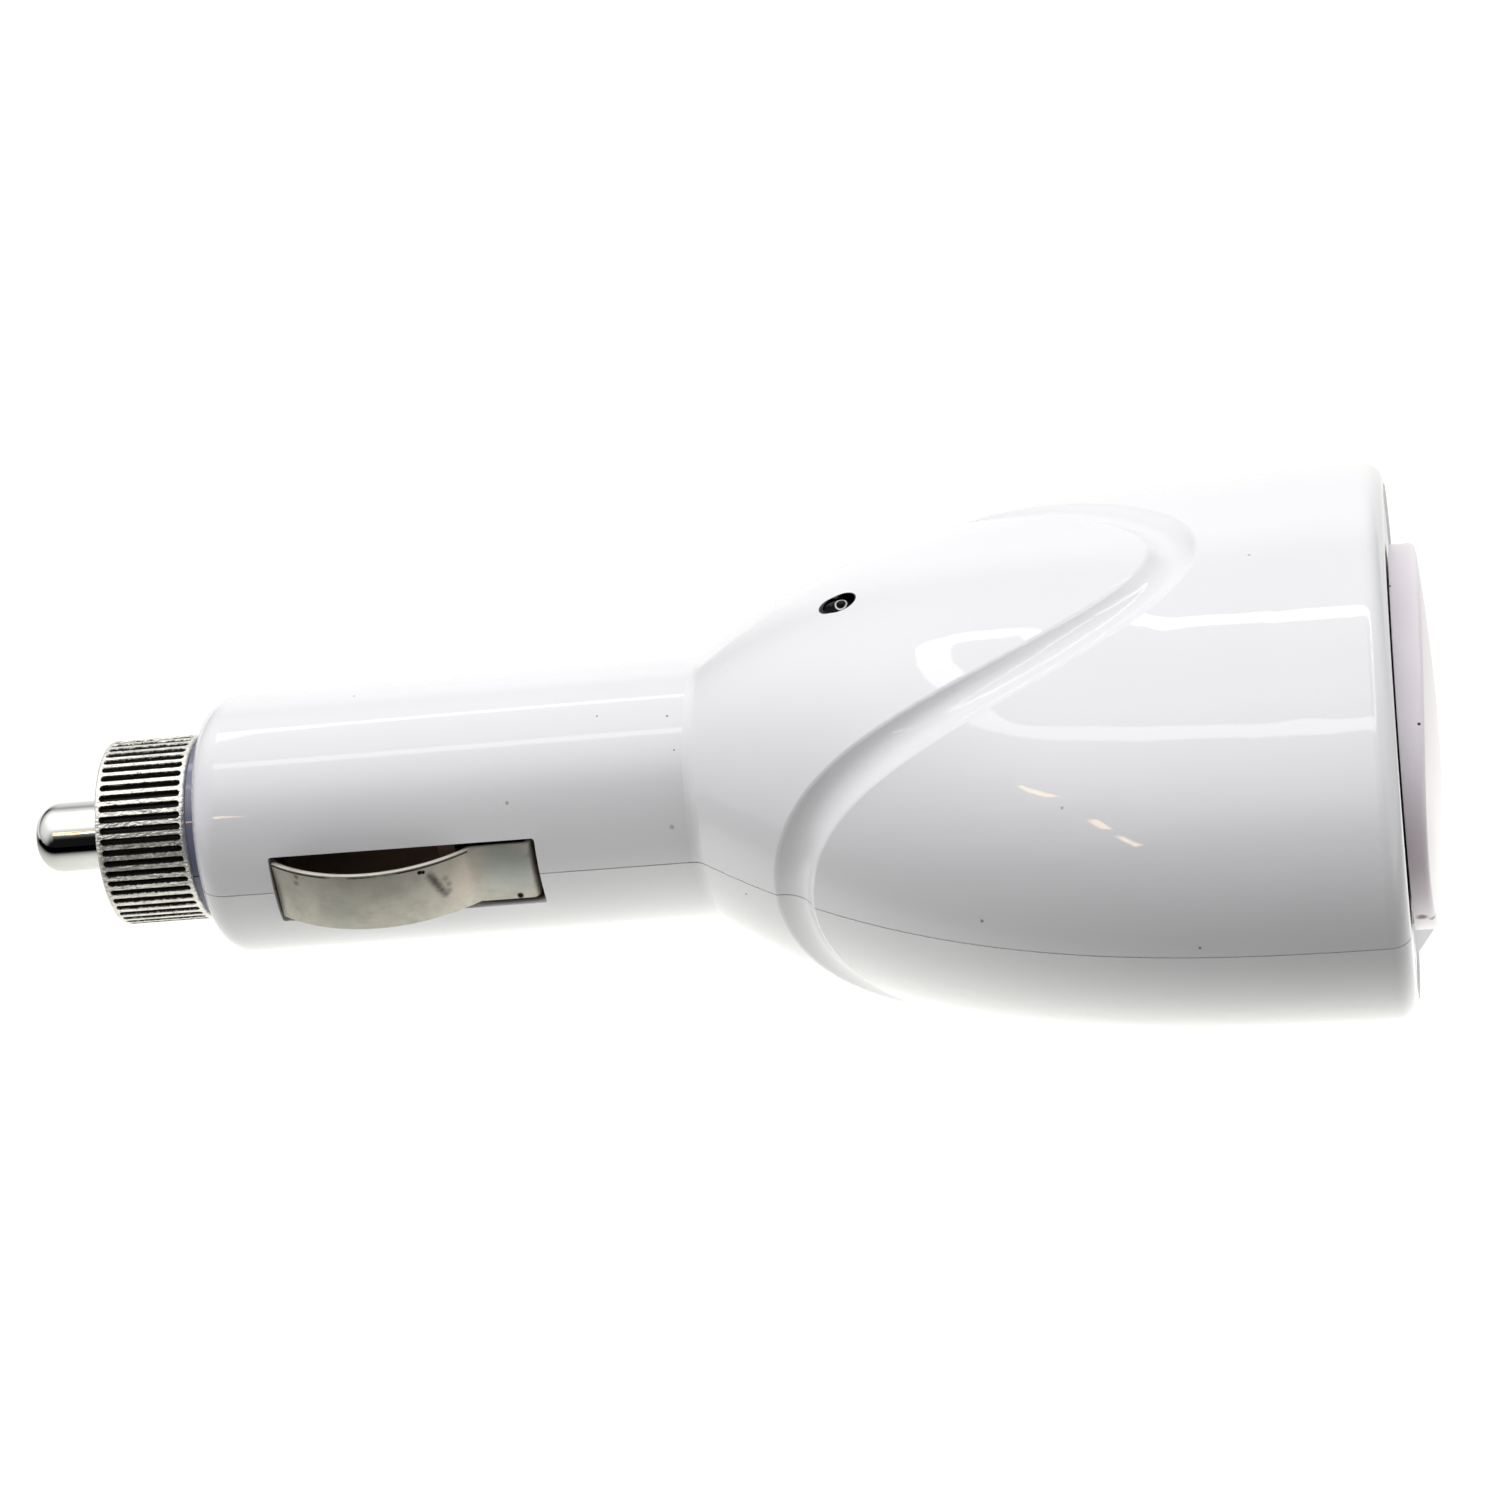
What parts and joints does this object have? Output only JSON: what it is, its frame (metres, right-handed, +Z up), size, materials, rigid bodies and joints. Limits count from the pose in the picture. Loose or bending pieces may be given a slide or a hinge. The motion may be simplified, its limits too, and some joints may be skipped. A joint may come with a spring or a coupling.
{
  "type": "car usb charger plug",
  "caption": "White USB car charger plug with a flared oval head, wave groove, sprung contacts, knurled nose ring and a hinged lid over its outlets.",
  "frame": {"origin": "on the plug's axis, where the straight barrel ends at the head", "axes": "+X along the plug towards the outlets, +Z up out of the half with the indicator, +Y to the far side"},
  "size_m": [0.111, 0.0558, 0.0358],
  "materials": {
    "shell_white": "gloss",
    "end_white": "gloss",
    "lid_white": "gloss",
    "nickel_plate": "polished",
    "spring_strip": "satin",
    "steel": "satin",
    "fuse_cap_metal": "satin",
    "fuse_tube_glass": "gloss",
    "brass_contact": "satin",
    "outlet_shell_metal": "satin",
    "outlet_insulator": "matte",
    "board_laminate": "satin",
    "ferrite": "matte",
    "copper_winding": "satin",
    "capacitor_can": "satin",
    "chip_resin": "matte",
    "indicator_resin": "gloss",
    "lead_red": "satin",
    "lead_black": "satin"
  },
  "bodies": {
    "housing": {"upper_shell": "shell_white", "lower_shell": "shell_white", "end_plate": "end_white", "lid_hinge_pin": "steel", "fuse_spring": "steel", "led_leads": "steel", "fuse_terminal": "brass_contact", "usb_contacts": "brass_contact", "usb_shell_near": "outlet_shell_metal", "usb_shell_far": "outlet_shell_metal", "usb_insulator_near": "outlet_insulator", "usb_insulator_far": "outlet_insulator", "circuit_board": "board_laminate", "inductor_core": "ferrite", "inductor_winding": "copper_winding", "input_capacitor": "capacitor_can", "output_capacitor": "capacitor_can", "controller_chip": "chip_resin", "rectifier_diode": "chip_resin", "indicator_led": "indicator_resin", "positive_lead": "lead_red", "near_negative_lead": "lead_black", "far_negative_lead": "lead_black"},
    "ring": {"nose_ring": "nickel_plate"},
    "pin": {"centre_pin": "nickel_plate", "fuse_front_cap": "fuse_cap_metal", "fuse_rear_cap": "fuse_cap_metal", "fuse_glass": "fuse_tube_glass", "fuse_element": "fuse_cap_metal"},
    "near_leaf": {"near_contact": "spring_strip"},
    "far_leaf": {"far_contact": "spring_strip"},
    "lid": {"outlet_lid": "lid_white"}
  },
  "joints": [
    {"name": "pin_press", "type": "slide", "parent": "housing", "child": "pin", "axis": [1, 0, 0], "range_m": [0, 0.003], "stiffness_N_per_m": 1000, "springref_m": -0.002, "deforming": ["fuse_spring"]},
    {"name": "ring_turn", "type": "hinge", "parent": "housing", "child": "ring", "pos_m": [-0.0437, 0, 0], "axis": [1, 0, 0], "continuous": true},
    {"name": "near_contact_press", "type": "hinge", "parent": "housing", "child": "near_leaf", "pos_m": [-0.01253, -0.0096, 0], "axis": [0, 0, -1], "range_deg": [0, 12.5], "stiffness_Nm_per_rad": 0.12},
    {"name": "far_contact_press", "type": "hinge", "parent": "housing", "child": "far_leaf", "pos_m": [-0.01253, 0.0096, 0], "axis": [0, 0, 1], "range_deg": [0, 12.5], "stiffness_Nm_per_rad": 0.12},
    {"name": "lid_hinge", "type": "hinge", "parent": "housing", "child": "lid", "pos_m": [0.0542, 0, -0.0115], "axis": [0, 1, 0], "range_deg": [0, 120]}
  ]
}
